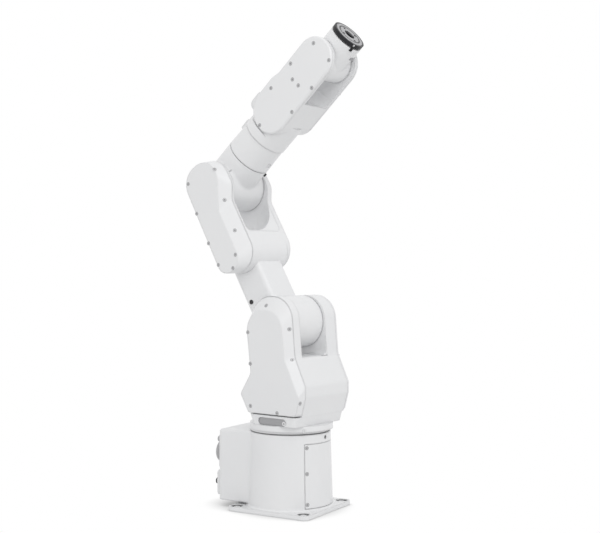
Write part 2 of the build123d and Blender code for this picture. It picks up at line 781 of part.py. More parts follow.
export_step(wrist_fork.part, "parts/wrist_fork.step")

with BuildPart() as wrist_near_cover:
    extrude(
        outline(forearm_side.offset(WRIST_SEAT), wrist_corners(WRIST_START), wrist_rounds),
        amount=WRIST_COVER,
    )
    near_face = wrist_near_cover.faces().sort_by(Axis(axis_5, near))[-1]
    chamfer(near_face.edges(), WRIST_BEVEL)
wrist_near_cover.part.label = "wrist_near_cover"
export_step(wrist_near_cover.part, "parts/wrist_near_cover.step")

with BuildPart() as wrist_far_cover:
    extrude(
        outline(forearm_side.offset(-WRIST_SEAT), wrist_corners(FAR_WRIST_START), wrist_rounds),
        amount=-WRIST_COVER,
    )
    far_face = wrist_far_cover.faces().sort_by(Axis(axis_5, near))[0]
    chamfer(far_face.edges(), WRIST_BEVEL)
wrist_far_cover.part.label = "wrist_far_cover"
export_step(wrist_far_cover.part, "parts/wrist_far_cover.step")

with BuildPart() as axis_5_near_bearing:
    with BuildSketch(wrist_side.offset(WRIST_GAP)):
        Circle(BEARING_5_R)
    extrude(amount=RUNNING - JOINT_GAP)
axis_5_near_bearing.part.label = "axis_5_near_bearing"
export_step(axis_5_near_bearing.part, "parts/axis_5_near_bearing.step")

with BuildPart() as axis_5_far_bearing:
    mirror(axis_5_near_bearing.part, about=wrist_side)
axis_5_far_bearing.part.label = "axis_5_far_bearing"
export_step(axis_5_far_bearing.part, "parts/axis_5_far_bearing.step")

# Wrist: tilting housing between the fork's ears
with BuildPart() as wrist_housing:
    with BuildSketch(wrist_side):
        Circle(TILT_R)
    extrude(amount=TILT_HALF, both=True)
    with BuildSketch(wrist_section):
        SlotOverall(2 * TILT_R, 2 * TILT_HALF, rotation=90)
    extrude(amount=TILT_END)
wrist_housing.part.label = "wrist_housing"
export_step(wrist_housing.part, "parts/wrist_housing.step")

flange_start = WRIST_REACH - FLANGE_T - RUNNING

with BuildPart() as axis_6_bearing:
    with BuildSketch(wrist_section.offset(TILT_END)):
        Circle(BEARING_6_R)
    extrude(amount=flange_start - TILT_END - RUNNING)
axis_6_bearing.part.label = "axis_6_bearing"
export_step(axis_6_bearing.part, "parts/axis_6_bearing.step")

# Tool flange: dark ring with a bright mounting face let into it
with BuildPart() as flange_ring:
    with BuildSketch(wrist_section.offset(flange_start)):
        Circle(FLANGE_R)
    extrude(amount=FLANGE_T)
    with BuildSketch(wrist_section.offset(WRIST_REACH - FACE_T)):
        Circle(FACE_R + RUNNING)
    extrude(amount=FACE_T, mode=Mode.SUBTRACT)
    with BuildSketch(wrist_section.offset(flange_start)):
        Circle(TOOL_BORE_R)
        with PolarLocations(TOOL_CIRCLE / 2, TOOL_HOLES):
            Circle(TOOL_HOLE_R)
    extrude(amount=FLANGE_T, mode=Mode.SUBTRACT)
flange_ring.part.label = "flange_ring"
export_step(flange_ring.part, "parts/flange_ring.step")

with BuildPart() as flange_plate:
    with BuildSketch(wrist_section.offset(WRIST_REACH - FACE_T)):
        Circle(FACE_R)
        Circle(TOOL_BORE_R, mode=Mode.SUBTRACT)
        with PolarLocations(TOOL_CIRCLE / 2, TOOL_HOLES):
            Circle(TOOL_HOLE_R, mode=Mode.SUBTRACT)
    extrude(amount=FACE_T)
flange_plate.part.label = "flange_plate"
export_step(flange_plate.part, "parts/flange_plate.step")
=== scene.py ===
# %% [markdown]
# # Dressing a six-axis robot arm
# A small factory arm is a stack of painted castings that turn on one another. The CAD model already
# holds every casting, cover and bearing in its place, so nothing is modelled twice here. This lesson
# gives those pieces their finishes, adds the small hardware and the soft cast corners that the CAD model
# leaves off, and sets up a plain white studio seen from the height of the arm's middle.

# %% Load the frame
import json
import math

import bmesh
import bpy
from mathutils import Matrix, Vector


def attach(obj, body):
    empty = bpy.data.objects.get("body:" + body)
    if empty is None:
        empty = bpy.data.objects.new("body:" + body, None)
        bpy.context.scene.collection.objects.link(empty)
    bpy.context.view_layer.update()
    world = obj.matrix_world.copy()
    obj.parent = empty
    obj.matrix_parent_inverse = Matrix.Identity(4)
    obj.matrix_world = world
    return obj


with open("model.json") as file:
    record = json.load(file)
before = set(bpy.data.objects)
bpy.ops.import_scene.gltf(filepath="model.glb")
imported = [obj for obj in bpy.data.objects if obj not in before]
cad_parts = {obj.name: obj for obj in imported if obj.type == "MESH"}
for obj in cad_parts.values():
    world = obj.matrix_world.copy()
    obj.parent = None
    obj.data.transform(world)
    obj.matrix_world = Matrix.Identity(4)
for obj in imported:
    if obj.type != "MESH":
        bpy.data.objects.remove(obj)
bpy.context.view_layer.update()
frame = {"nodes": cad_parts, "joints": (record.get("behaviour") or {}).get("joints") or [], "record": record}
nodes = frame["nodes"]

# %% [markdown]
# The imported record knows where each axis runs. Reading the directions from the joints keeps every
# screw and mark below tied to the links they sit on: `forward` and `near` turn with the shoulder,
# `link_front` and `link_up` lean with the lower arm, and `ahead` and `above` follow the forearm.

# %% Directions of the links
joints = {joint["name"]: joint for joint in frame["joints"]}


def centre_of(name):
    return Vector(joints[name]["pos_m"])


def axis_of(name):
    return Vector(joints[name]["axis"]).normalized()


MM = 0.001
up = Vector((0, 0, 1))
rearward = Vector((-1, 0, 0))
near = -axis_of("axis_2")
forward = up.cross(near)
link_up = (centre_of("axis_3") - centre_of("axis_2")).normalized()
link_front = link_up.cross(near)
ahead = axis_of("axis_4")
above = near.cross(ahead)
print("forward", forward[:], "ahead", ahead[:])

# %% [markdown]
# ## Camera
# The picture was taken level with the arm's middle, from about two metres away on the arm's right. A
# level camera keeps upright edges upright. The small sideways shift puts the arm left of the frame's
# centre without turning the lens.

# %% Camera
CAMERA_AZIMUTH = 31.2  # degrees, from straight right of the arm round to its front
CAMERA_DISTANCE = 1.949
CAMERA_HEIGHT = 0.424
CAMERA_SENSOR = 36  # mm
CAMERA_LENS = 66.42  # mm
CAMERA_SHIFT = 10 / 600  # pixels, out of the picture's width
azimuth = math.radians(CAMERA_AZIMUTH)
camera = bpy.data.objects.new("camera", bpy.data.cameras.new("camera"))
bpy.context.scene.collection.objects.link(camera)
camera.location = (
    CAMERA_DISTANCE * math.sin(azimuth),
    -CAMERA_DISTANCE * math.cos(azimuth),
    CAMERA_HEIGHT,
)
camera.rotation_euler = (math.pi / 2, 0, azimuth)
camera.data.sensor_width = CAMERA_SENSOR
camera.data.lens = CAMERA_LENS
camera.data.shift_x = CAMERA_SHIFT
bpy.context.scene.camera = camera
print("camera at", [round(value, 3) for value in camera.location])

# %% [markdown]
# ## Studio
# A white machine on a white ground is lit by one big even dome, so that form is drawn by soft shade
# alone. A Light Path node lets the world and the floor show plain white in the picture while they send
# a little less light to the arm. Trees of nodes are built all through this lesson, so the steps that
# come back in each of them are written first, as helpers.

# %% Node helpers


def add(tree, kind, sockets=None, **settings):
    """One node, with its settings and its sockets set or linked."""
    made = tree.nodes.new(kind)
    for name, value in settings.items():
        setattr(made, name, value)
    for name, value in (sockets or {}).items():
        if isinstance(value, bpy.types.NodeSocket):
            tree.links.new(value, made.inputs[name])
        else:
            made.inputs[name].default_value = value
    return made


def maths(tree, operation, first, second):
    """A Math node's result."""
    return add(tree, "ShaderNodeMath", {0: first, 1: second}, operation=operation).outputs[0]


def spread(tree, value, low, high, first, second):
    """A value from low to high, mapped to run from first to second."""
    levels = {"Value": value, "From Min": low, "From Max": high, "To Min": first, "To Max": second}
    return add(tree, "ShaderNodeMapRange", levels).outputs["Result"]


def seen_directly(tree):
    """One for what the camera sees straight, in a reflection or through glass, and zero for fill light."""
    path = add(tree, "ShaderNodeLightPath").outputs
    mirrored = maths(tree, "MAXIMUM", path["Is Glossy Ray"], path["Is Transmission Ray"])
    return maths(tree, "MAXIMUM", path["Is Camera Ray"], mirrored)


print("node helpers ready")

# %% [markdown]
# The dome is a little brighter near the horizon than overhead, as in a room with white walls. That helps
# the upright sides of the castings to come out nearly as light as their tops.

# %% World
DOME_LOW = 0.95
DOME_HIGH = 0.75
scene = bpy.context.scene
scene.view_settings.view_transform = "Standard"
world = bpy.data.worlds.new("studio")
scene.world = world
world.use_nodes = True
tree = world.node_tree
dome = tree.nodes["Background"]
dome.inputs["Color"].default_value = (1, 1, 1, 1)
direction = add(tree, "ShaderNodeTexCoord").outputs["Generated"]
steepness = add(tree, "ShaderNodeSeparateXYZ", {0: direction}).outputs["Z"]
fill = spread(tree, steepness, 0.0, 1.0, DOME_LOW, DOME_HIGH)
tree.links.new(spread(tree, seen_directly(tree), 0.0, 1.0, fill, 1.0), dome.inputs["Strength"])
print("dome", DOME_LOW, "at the horizon and", DOME_HIGH, "overhead")

# %% [markdown]
# The floor's white fades where something stands close over it, which an Ambient Occlusion node measures,
# and that leaves a contact shadow and dark bolt holes.

# %% Floor
FLOOR_HALF = 6.0
FLOOR_BOUNCE = (0.8, 0.8, 0.8, 1)
SHADOW_REACH = 0.05
SHADOW_WHITE = 0.25  # what is left of the floor's white where it is covered
OPEN_FLOOR = 0.9  # how open the floor has to be to show plain white
floor_mesh = bpy.data.meshes.new("floor")
corners = [(-FLOOR_HALF, -FLOOR_HALF, 0), (FLOOR_HALF, -FLOOR_HALF, 0)]
corners += [(FLOOR_HALF, FLOOR_HALF, 0), (-FLOOR_HALF, FLOOR_HALF, 0)]
floor_mesh.from_pydata(corners, [], [(0, 1, 2, 3)])
floor = bpy.data.objects.new("floor", floor_mesh)
scene.collection.objects.link(floor)

ground = bpy.data.materials.new("studio_floor")
ground.use_nodes = True
tree = ground.node_tree
tree.nodes.remove(tree.nodes["Principled BSDF"])
bounce = add(tree, "ShaderNodeBsdfDiffuse", {"Color": FLOOR_BOUNCE})
openness = add(tree, "ShaderNodeAmbientOcclusion", {"Distance": SHADOW_REACH}, samples=16).outputs["AO"]
glow = spread(tree, openness, 0.0, OPEN_FLOOR, SHADOW_WHITE, 1.0)
white = add(tree, "ShaderNodeEmission", {"Color": (1, 1, 1, 1), "Strength": glow})
looks = {0: seen_directly(tree), 1: bounce.outputs[0], 2: white.outputs[0]}
surface = add(tree, "ShaderNodeMixShader", looks)
tree.links.new(surface.outputs[0], tree.nodes["Material Output"].inputs["Surface"])
floor.data.materials.append(ground)
print("floor", 2 * FLOOR_HALF, "m square")

# %% [markdown]
# One broad lamp stands high in front of the arm, to the camera's right. It lifts the bevels and fronts a
# step above the flat sides, which is what makes a white cover read as bevelled. Its size is close to its
# distance, so it leaves no hard shadow.

# %% Front lamp
LAMP_SIZE = 1.8
LAMP_POWER = 13
LAMP_PLACE = Vector((1.25, -1.2, 1.8))
LAMP_AIM = Vector((0, 0, 0.45))
lamp = bpy.data.objects.new("front_lamp", bpy.data.lights.new("front_lamp", "AREA"))
lamp.data.size = LAMP_SIZE
lamp.data.energy = LAMP_POWER
lamp.location = LAMP_PLACE
lamp.rotation_euler = (LAMP_AIM - LAMP_PLACE).to_track_quat("-Z", "Y").to_euler()
scene.collection.objects.link(lamp)
print("lamp", LAMP_POWER, "W")

# %% [markdown]
# ## Finishes
# A finish is more than a colour. Its tone and its gloss drift a little over the piece, its surface has a
# grain, and its edges are never knife sharp. The helpers below give each of those: a slow noise, a colour
# between two colours, and a bump laid over a Bevel node, which rounds the edges at render time without
# touching the CAD.

# %% Finish helpers
PLAIN = (1.0, 1.0, 1.0)
MIX_FIRST, MIX_SECOND, MIX_RESULT = 6, 7, 2  # the colour sockets of a Mix node


def start_finish(name):
    """A new material with its tree, its shader and its Object coordinates."""
    finish = bpy.data.materials.new(name)
    finish.use_nodes = True
    tree = finish.node_tree
    coordinates = add(tree, "ShaderNodeTexCoord").outputs["Object"]
    return finish, tree, tree.nodes["Principled BSDF"], coordinates


def drift(tree, vector, scale, low, high):
    """A slow noise mapped between two values."""
    noise = add(tree, "ShaderNodeTexNoise", {"Vector": vector, "Scale": scale, "Detail": 3.0})
    return spread(tree, noise.outputs["Fac"], 0.3, 0.7, low, high)


def between(tree, factor, first, second):
    """A colour between two colours."""
    ramp = add(tree, "ShaderNodeValToRGB", {"Fac": factor})
    ramp.color_ramp.elements[0].color = (*first, 1)
    ramp.color_ramp.elements[1].color = (*second, 1)
    return ramp.outputs["Color"]


def tinted(tree, first, second):
    """One colour multiplied by another."""
    mixed = add(tree, "ShaderNodeMix", {"Factor": 1.0}, data_type="RGBA", blend_type="MULTIPLY")
    tree.links.new(first, mixed.inputs[MIX_FIRST])
    tree.links.new(second, mixed.inputs[MIX_SECOND])
    return mixed.outputs[MIX_RESULT]


def relief(tree, height, depth, strength, edge):
    """A bump on top of softened edges."""
    soft = add(tree, "ShaderNodeBevel", {"Radius": edge}, samples=8)
    sockets = {"Height": height, "Distance": depth, "Strength": strength, "Normal": soft.outputs["Normal"]}
    return add(tree, "ShaderNodeBump", sockets).outputs["Normal"]


print("finish helpers ready")

# %% [markdown]
# The castings and covers are sprayed with the same satin white. Sprayed paint is never quite even: it has a
# very fine orange peel and its gloss drifts a little over a hand's width. Its colour is also greyed slightly
# in the corners where covers meet, which is painted shade, measured by an Ambient Occlusion node. Paint also
# flows round an edge, so its Bevel is the widest of all.

# %% Satin white paint
PAINT_GREY = (0.775, 0.78, 0.79)
PAINT_WHITE = (0.80, 0.803, 0.81)
CORNER_PAINTED_SHADE = (0.88, 0.88, 0.885)
CORNER_SHADE_REACH = 4.0 * MM
PAINT_EDGE = 3.6 * MM
PEEL_GRAIN = 520.0
PEEL_DEPTH = 0.4 * MM
white_paint, tree, shader, place = start_finish("satin_white_paint")
coat = between(tree, drift(tree, place, 7.0, 0.0, 1.0), PAINT_GREY, PAINT_WHITE)
# painted shade: an Ambient Occlusion node greys the paint's colour in corners and seams
corner = add(tree, "ShaderNodeAmbientOcclusion", {"Distance": CORNER_SHADE_REACH}, samples=8).outputs["AO"]
painted_corner_shade = between(tree, spread(tree, corner, 0.2, 0.8, 0.0, 1.0), CORNER_PAINTED_SHADE, PLAIN)
tree.links.new(tinted(tree, coat, painted_corner_shade), shader.inputs["Base Color"])
tree.links.new(drift(tree, place, 11.0, 0.36, 0.44), shader.inputs["Roughness"])
peel = add(tree, "ShaderNodeTexNoise", {"Vector": place, "Scale": PEEL_GRAIN, "Detail": 1.0})
skin = relief(tree, peel.outputs["Fac"], PEEL_DEPTH, 0.06, PAINT_EDGE)
tree.links.new(skin, shader.inputs["Normal"])
shader.inputs["Coat Weight"].default_value = 0.25
shader.inputs["Coat Roughness"].default_value = 0.18
print("finish:", white_paint.name)

# %% [markdown]
# The metals differ in how they were cut. Sheet metal is brushed in one direction, which is a noise
# stretched along one axis. Cast shells, screws and machined rings only get a fine grain. Each metal's
# colour is what it mirrors of a white room, so a mid grey value gives a mid grey plate.

# %% Metals
STREAK_SHADE = 0.86  # a dark streak's share of the metal's colour
STREAK_DEPTH = 0.1 * MM
METAL_EDGE = 0.4 * MM


def metal(name, colour, roughness, grain, stretch=(1.0, 1.0, 1.0)):
    """A metal with a grain, drawn out by the stretch along each axis."""
    finish, tree, shader, place = start_finish(name)
    drawn = add(tree, "ShaderNodeMapping", {"Vector": place, "Scale": stretch}).outputs["Vector"]
    streak = drift(tree, drawn, grain, 0.0, 1.0)
    darker = tuple(STREAK_SHADE * part for part in colour)
    tree.links.new(between(tree, streak, darker, colour), shader.inputs["Base Color"])
    gloss = spread(tree, streak, 0.0, 1.0, roughness - 0.06, roughness + 0.08)
    tree.links.new(gloss, shader.inputs["Roughness"])
    tree.links.new(relief(tree, streak, STREAK_DEPTH, 0.15, METAL_EDGE), shader.inputs["Normal"])
    shader.inputs["Metallic"].default_value = 1.0
    print("metal:", finish.name)
    return finish


brushed_plate = metal("brushed_access_plate", (0.40, 0.40, 0.41), 0.42, 60.0, (2.0, 2.0, 40.0))
sheet_aluminium = metal("sheet_aluminium", (0.70, 0.70, 0.71), 0.38, 50.0, (1.0, 1.0, 30.0))
cast_shell = metal("cast_connector_shell", (0.50, 0.50, 0.51), 0.42, 900.0)
screw_steel = metal("screw_steel", (0.54, 0.54, 0.55), 0.36, 1500.0)
zinc_steel = metal("zinc_plated_steel", (0.74, 0.74, 0.75), 0.32, 1500.0)
# nearly black: bare metal with the shade of the spot-face recess painted in
spot_face_metal_and_shade = metal("spot_face_metal_painted_shade", (0.13, 0.13, 0.135), 0.55, 1200.0)
brass = metal("contact_brass", (0.72, 0.56, 0.30), 0.30, 1500.0)

# %% [markdown]
# The tool flange is turned on a lathe, which leaves fine rings round its own axis and one wide groove.
# A Mapping node of the Texture type first moves the coordinates to the flange and tilts them with it.
# The distance from the axis then draws the groove, as a bump and as shade painted dark into its colour, and
# a Wave texture draws the tool's marks.

# %% Turned flange face
GROOVE_R = 20.5 * MM
GROOVE_HALF = 1.6 * MM
GROOVE_FLOOR = 0.75 * GROOVE_HALF
# painted shade: the colour of the groove's floor, for the shade inside it
GROOVE_PAINTED_SHADE = (0.07, 0.07, 0.075)
GROOVE_DEPTH = 0.8 * MM
RING_GREY = (0.34, 0.34, 0.35)
RING_BRIGHT = (0.52, 0.52, 0.53)
RING_DEPTH = 0.1  # of the groove's depth
TURNED_EDGE = 0.5 * MM
turned_steel, tree, shader, place = start_finish("turned_steel")
flange_tilt = ahead.to_track_quat("Z", "Y").to_euler()
lathe_frame = {"Vector": place, "Location": centre_of("axis_6"), "Rotation": flange_tilt}
centred = add(tree, "ShaderNodeMapping", lathe_frame, vector_type="TEXTURE").outputs["Vector"]
rings = add(
    tree,
    "ShaderNodeTexWave",
    {"Vector": centred, "Scale": 110.0, "Distortion": 0.6, "Detail": 2.0},
    wave_type="RINGS",
    rings_direction="Z",
).outputs["Fac"]
flat = add(tree, "ShaderNodeVectorMath", {0: centred, 1: (1, 1, 0)}, operation="MULTIPLY").outputs[0]
radius = add(tree, "ShaderNodeVectorMath", {0: flat}, operation="LENGTH").outputs["Value"]
off_middle = maths(tree, "ABSOLUTE", maths(tree, "SUBTRACT", radius, GROOVE_R), 0.0)
land = spread(tree, off_middle, GROOVE_FLOOR, GROOVE_HALF, 0.0, 1.0)
steel = between(tree, rings, RING_GREY, RING_BRIGHT)
# the groove's dark colour is painted shade
groove = between(tree, land, GROOVE_PAINTED_SHADE, PLAIN)
tree.links.new(tinted(tree, steel, groove), shader.inputs["Base Color"])
tree.links.new(drift(tree, centred, 300.0, 0.26, 0.40), shader.inputs["Roughness"])
depth = maths(tree, "ADD", maths(tree, "MULTIPLY", rings, RING_DEPTH), land)
tree.links.new(relief(tree, depth, GROOVE_DEPTH, 0.4, TURNED_EDGE), shader.inputs["Normal"])
shader.inputs["Metallic"].default_value = 1.0
print("finish:", turned_steel.name, "groove at", GROOVE_R)

# %% [markdown]
# Seals, plastics, the blued ring of the flange and the painted shade of the gaps round the screws share one
# matt recipe. The black ones stay a little above pure black, which lets their edges read, and the blued ring
# mirrors less of the white room than plastic does.
# A seal lies deep in its gap and gets little light there, so its own colour is paler than the line that
# it draws. The gaps of axes 2, 3 and 5 hardly show on the real arm, and their seals are paler still.

# %% Matt finishes
SPARK_DEPTH = 0.3 * MM
MATT_EDGE = 0.5 * MM
GLOSS_DRIFT = 0.07


def matt(name, first, second, roughness, grain, strength, shine=0.5):
    """A non-metal whose colour and gloss drift between two values."""
    finish, tree, shader, place = start_finish(name)
    cloud = drift(tree, place, 40.0, 0.0, 1.0)
    tree.links.new(between(tree, cloud, first, second), shader.inputs["Base Color"])
    gloss = drift(tree, place, 90.0, roughness - GLOSS_DRIFT, roughness + GLOSS_DRIFT)
    tree.links.new(gloss, shader.inputs["Roughness"])
    spark = add(tree, "ShaderNodeTexNoise", {"Vector": place, "Scale": grain, "Detail": 2.0})
    skin = relief(tree, spark.outputs["Fac"], SPARK_DEPTH, strength, MATT_EDGE)
    tree.links.new(skin, shader.inputs["Normal"])
    shader.inputs["Specular IOR Level"].default_value = shine
    print("matt finish:", finish.name)
    return finish


BLACK, NEAR_BLACK = (0.014, 0.014, 0.015), (0.022, 0.022, 0.023)
BLUED, BLUED_PALE = (0.010, 0.010, 0.012), (0.020, 0.020, 0.023)
seal_rubber = matt("seal_rubber", (0.22, 0.22, 0.225), (0.27, 0.27, 0.275), 0.72, 800.0, 0.2)
black_plastic = matt("moulded_black_plastic", BLACK, NEAR_BLACK, 0.5, 1500.0, 0.25)
blued_steel = matt("blued_steel", BLUED, BLUED_PALE, 0.38, 1200.0, 0.12, 0.28)
# painted shade: the grey of the flat disc in the gap round a screw's head
gap_shade = matt("counterbore_painted_shade", (0.24, 0.24, 0.245), (0.30, 0.30, 0.305), 0.7, 800.0, 0.1)
pale_seal = matt("pale_seal", (0.72, 0.72, 0.725), (0.78, 0.78, 0.785), 0.7, 800.0, 0.15)

# %% [markdown]
# Every CAD node names its material slot in the record, so one table dresses them all. A second table
# holds the nodes that differ from the rest of their slot: the access plate is brushed where the flange
# face is turned, the user connector and the air fittings are pale metal, and three axes have pale seals.

# %% Dress the CAD nodes
finishes = {
    "white_paint": white_paint,
    "dark_seal": seal_rubber,
    "bright_steel": turned_steel,
    "bare_aluminium": sheet_aluminium,
    "connector_metal": cast_shell,
    "black_metal": blued_steel,
    "black_plastic": black_plastic,
}
special = {"access_plate": brushed_plate, "user_connector": cast_shell, "air_fittings": zinc_steel}
for axis in ("axis_2", "axis_3", "axis_5"):
    special[axis + "_near_bearing"] = pale_seal
    special[axis + "_far_bearing"] = pale_seal
worn = set()
for subpart in frame["record"]["subparts"]:
    piece = nodes[subpart["node"]]
    finish = special.get(subpart["node"], finishes[subpart["material_slot"]])
    if not piece.material_slots:
        piece.data.materials.append(finish)
    for slot in piece.material_slots:
        slot.material = finish
    worn.add(finish.name)

# %% [markdown]
# ## Cover screws
# Each cover is held by socket head screws sunk in counterbores round its edge. The real way to find where
# a screw sits is to aim at the cover and see where the aim lands, so each place is a ray cast on the CAD
# mesh. The ray gives the face's direction too, and the screw then stands square on a bevel as well as on
# a flat. The far covers are a little shorter than the near ones, so there the outermost screws move in.

# %% Seats on the shoulder's covers


def seat(node, aim, direction, reach=0.5):
    """The point and outward direction where a ray that starts a reach before its aim meets a node."""
    found, spot, facing, _ = nodes[node].ray_cast(aim - reach * direction, direction)
    if not found:
        raise ValueError(f"no seat on {node} at {aim[:]}")
    return spot, facing


# Forward and up from the foot of axis 1, in mm
SHOULDER_SCREWS = (
    (-1, 357),
    (46, 318),
    (52, 266),
    (73, 195),
    (27, 175),
    (-32, 183),
    (-32.5, 256),
    (-38, 310),
)
FAR_SHOULDER_FRONT = 58
bpy.context.view_layer.update()
shoulder_seats = []
for along, height in SHOULDER_SCREWS:
    aim = (forward * along + up * height) * MM
    shoulder_seats.append(seat("shoulder_near_cover", aim, -near))
    aim = (forward * min(along, FAR_SHOULDER_FRONT) + up * height) * MM
    shoulder_seats.append(seat("shoulder_far_cover", aim, near))
print("shoulder seats:", len(shoulder_seats))

# %% Seats on the elbow's covers
# Down the lower arm and to its front from axis 3, in mm
ELBOW_SCREWS = (
    (-12, 34),
    (44, 21.5),
    (103.5, 15.5),
    (144.5, 0.5),
    (162, -16),
    (140, -43),
    (95, -44),
    (34, -42),
    (-23.5, -33),
)
FAR_ELBOW_END = 150
lower_arm_seats = []
for down, front in ELBOW_SCREWS:
    aim = centre_of("axis_3") + (link_front * front - link_up * down) * MM
    lower_arm_seats.append(seat("elbow_near_cover", aim, -near))
    aim = centre_of("axis_3") + (link_front * front - link_up * min(down, FAR_ELBOW_END)) * MM
    lower_arm_seats.append(seat("elbow_far_cover", aim, near))
print("lower arm seats:", len(lower_arm_seats))

# %% Seats on the wrist's covers
# Ahead along the forearm and above it from axis 4, in mm
WRIST_SCREWS = (
    (319, 19),
    (322, -26.5),
    (263, 29.5),
    (248, 6),
    (250, -11),
    (267, -35),
    (205.5, 29.5),
    (210.5, -35),
    (145, -1),
)
FAR_WRIST_START = 153
forearm_seats = []
for along, height in WRIST_SCREWS:
    aim = centre_of("axis_4") + (ahead * along + above * height) * MM
    forearm_seats.append(seat("wrist_near_cover", aim, -near))
    aim = centre_of("axis_4") + (ahead * max(along, FAR_WRIST_START) + above * height) * MM
    forearm_seats.append(seat("wrist_far_cover", aim, near))
print("forearm seats:", len(forearm_seats))

# %% [markdown]
# The base has a curved front cover, whose screws point at axis 1, and two flat covers at the back, whose
# screws stand in columns left and right.

# %% Seats on the base
COVER_SCREW_Z = (115, 71, 19)
COVER_SCREW_ANGLE = 35.5
PANEL_SCREW_Y = 42.5
PANEL_SCREW_Z = (71, 122)
LOWER_SCREW_Z = (25, 55)
base_seats = []
for side in (-1, 1):
    angle = math.radians(side * COVER_SCREW_ANGLE)
    outward = Vector((math.cos(angle), math.sin(angle), 0))
    for height in COVER_SCREW_Z:
        base_seats.append(seat("base_front_cover", up * height * MM, -outward))
    for height in PANEL_SCREW_Z:
        aim = Vector((0, side * PANEL_SCREW_Y, height)) * MM
        base_seats.append(seat("rear_connector_panel", aim, -rearward))
    for height in LOWER_SCREW_Z:
        aim = Vector((0, side * PANEL_SCREW_Y, height)) * MM
        base_seats.append(seat("rear_lower_cover", aim, -rearward))
print("base seats:", len(base_seats))

# %% [markdown]
# Geometry Nodes suit hardware, because one screw is described once and its sizes stay open. Every tree
# below ends the same way: it copies its shape to the seats, turns each copy to the seat's direction,
# makes the copies real and gives them a finish. Those steps are written once, as helpers.

# %% Tree helpers
CHAMFER_START = 0.4  # of a shape's height, up from its middle


def open_tree(name, sizes, materials):
    """A geometry tree with a mesh in and out, and one named input for each size and material."""
    tree = bpy.data.node_groups.new(name, "GeometryNodeTree")
    tree.interface.new_socket("Geometry", in_out="INPUT", socket_type="NodeSocketGeometry")
    for label, value in sizes.items():
        kind = "NodeSocketInt" if isinstance(value, int) else "NodeSocketFloat"
        tree.interface.new_socket(label, in_out="INPUT", socket_type=kind).default_value = value
    for label in materials:
        tree.interface.new_socket(label, in_out="INPUT", socket_type="NodeSocketMaterial")
    tree.interface.new_socket("Geometry", in_out="OUTPUT", socket_type="NodeSocketGeometry")
    return tree, tree.nodes.new("NodeGroupInput").outputs, tree.nodes.new("NodeGroupOutput").inputs


def lift(tree, shape, height):
    """A shape raised along its own axis."""
    rise = add(tree, "ShaderNodeCombineXYZ", {"Z": height}).outputs[0]
    return add(tree, "GeometryNodeTransform", {"Geometry": shape, "Translation": rise}).outputs[0]


def chamfer(tree, shape, height, share):
    """A shape of a height about its middle whose top is pulled towards its axis."""
    level = maths(tree, "MULTIPLY", height, CHAMFER_START)
    place = add(tree, "GeometryNodeInputPosition").outputs[0]
    own = add(tree, "ShaderNodeSeparateXYZ", {0: place}).outputs["Z"]
    high = add(tree, "FunctionNodeCompare", {"A": own, "B": level}, operation="GREATER_THAN").outputs[0]
    pull = {0: place, 1: (share, share, 1.0)}
    pulled = add(tree, "ShaderNodeVectorMath", pull, operation="MULTIPLY").outputs[0]
    sockets = {"Geometry": shape, "Selection": high, "Position": pulled}
    return add(tree, "GeometryNodeSetPosition", sockets).outputs[0]


def copy_to_seats(tree, shape, seats, finish, seed=None):
    """The shape on every seat, square to it, with a random twist if there is a seed."""
    attribute = add(tree, "GeometryNodeInputNamedAttribute", {"Name": "facing"}, data_type="FLOAT_VECTOR")
    square = {"Vector": attribute.outputs["Attribute"]}
    turn = add(tree, "FunctionNodeAlignRotationToVector", square, axis="Z").outputs[0]
    if seed is not None:
        limits = {"Min": 0.0, "Max": math.tau, "Seed": seed}
        twist = add(tree, "FunctionNodeRandomValue", limits, data_type="FLOAT").outputs[1]
        spin = add(tree, "FunctionNodeAxisAngleToRotation", {"Axis": (0, 0, 1), "Angle": twist}).outputs[0]
        both = {"Rotation": turn, "Rotate By": spin}
        turn = add(tree, "FunctionNodeRotateRotation", both, rotation_space="LOCAL").outputs[0]
    copies = {"Points": seats, "Instance": shape, "Rotation": turn}
    copies = add(tree, "GeometryNodeInstanceOnPoints", copies).outputs[0]
    real = add(tree, "GeometryNodeRealizeInstances", {"Geometry": copies}).outputs[0]
    return add(tree, "GeometryNodeSetMaterial", {"Geometry": real, "Material": finish}).outputs[0]


print("tree helpers ready")

# %% [markdown]
# The screw's head is a short cylinder whose top ring is drawn in for the chamfer. A hexagon is cut out of it
# with a Boolean, and a thin dark disc under it paints the shade in the gap of the counterbore. Each screw
# gets a random twist from a fixed seed, since no fitter leaves two sockets aligned.

# %% Socket screw tree
SCREW_SEED = 4
SCREW_SIDES = 28
HEAD_CHAMFER = 0.88
GAP_LEVEL = 0.06 * MM
screw_sizes = {
    "Head Radius": 3.0 * MM,
    "Head Height": 0.25 * MM,
    "Socket Radius": 1.6 * MM,
    "Socket Depth": 1.0 * MM,
    "Gap Width": 0.5 * MM,
}
screw_tree, size, result = open_tree("socket_screws", screw_sizes, ("Steel", "Gap"))
cylinder = {
    "Vertices": SCREW_SIDES,
    "Side Segments": 2,
    "Radius": size["Head Radius"],
    "Depth": size["Head Height"],
}
blank = add(screw_tree, "GeometryNodeMeshCylinder", cylinder).outputs["Mesh"]
head = chamfer(screw_tree, blank, size["Head Height"], HEAD_CHAMFER)
deep = maths(screw_tree, "MULTIPLY", size["Socket Depth"], 2.0)
hexagon = {"Vertices": 6, "Radius": size["Socket Radius"], "Depth": deep}
key = add(screw_tree, "GeometryNodeMeshCylinder", hexagon).outputs["Mesh"]
half = maths(screw_tree, "MULTIPLY", size["Head Height"], 0.5)
solids = {"Mesh 1": head, "Mesh 2": lift(screw_tree, key, half)}
cut = add(screw_tree, "GeometryNodeMeshBoolean", solids, operation="DIFFERENCE").outputs["Mesh"]
rim = maths(screw_tree, "ADD", size["Head Radius"], size["Gap Width"])
